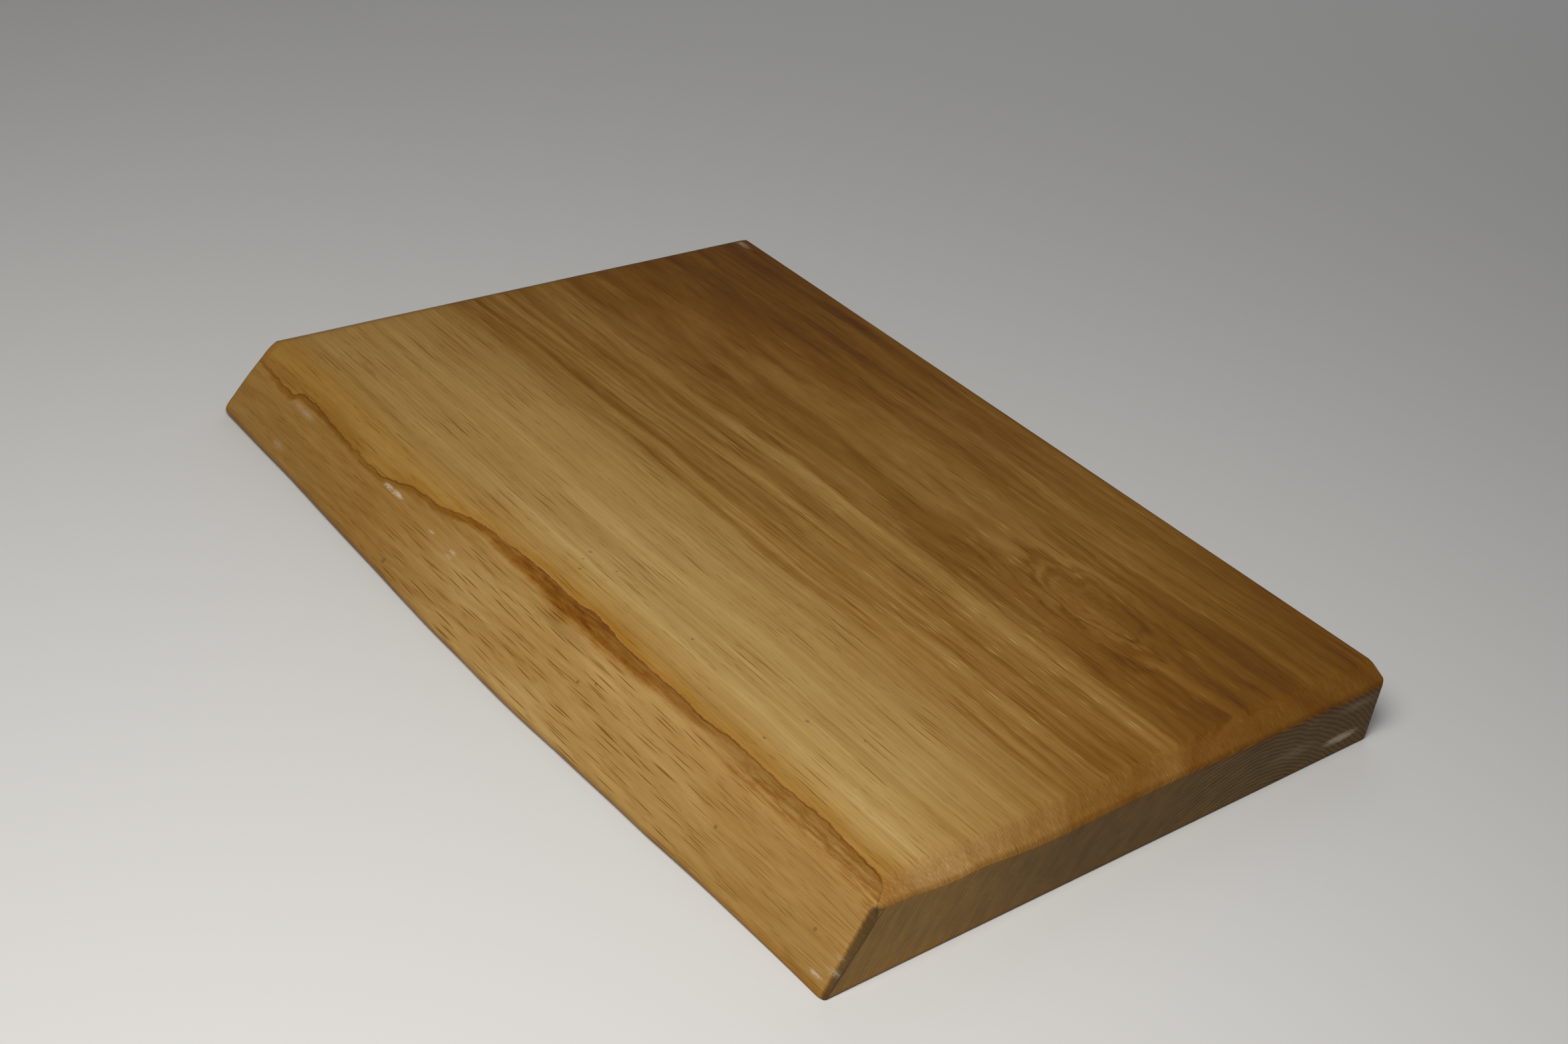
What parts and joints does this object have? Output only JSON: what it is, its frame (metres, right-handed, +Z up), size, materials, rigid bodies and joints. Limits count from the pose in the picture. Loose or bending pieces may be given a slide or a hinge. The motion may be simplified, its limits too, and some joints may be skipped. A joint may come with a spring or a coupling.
{
  "type": "threshold board",
  "caption": "Short wide solid oak threshold board with a sloping bevel along one long edge, a square back edge and eased ends, free-standing on its flat underside.",
  "frame": {"origin": "centre of the underside's bounding rectangle", "axes": "+X along the grain towards the end with the wide chamfer, +Y from the bevelled edge to the square back edge, +Z up from the underside"},
  "size_m": [0.3, 0.21, 0.024],
  "materials": {
    "oiled_oak": "oiled, satin, hand-eased arrises"
  },
  "bodies": {
    "root": {"threshold_board": "oiled_oak"}
  },
  "joints": []
}
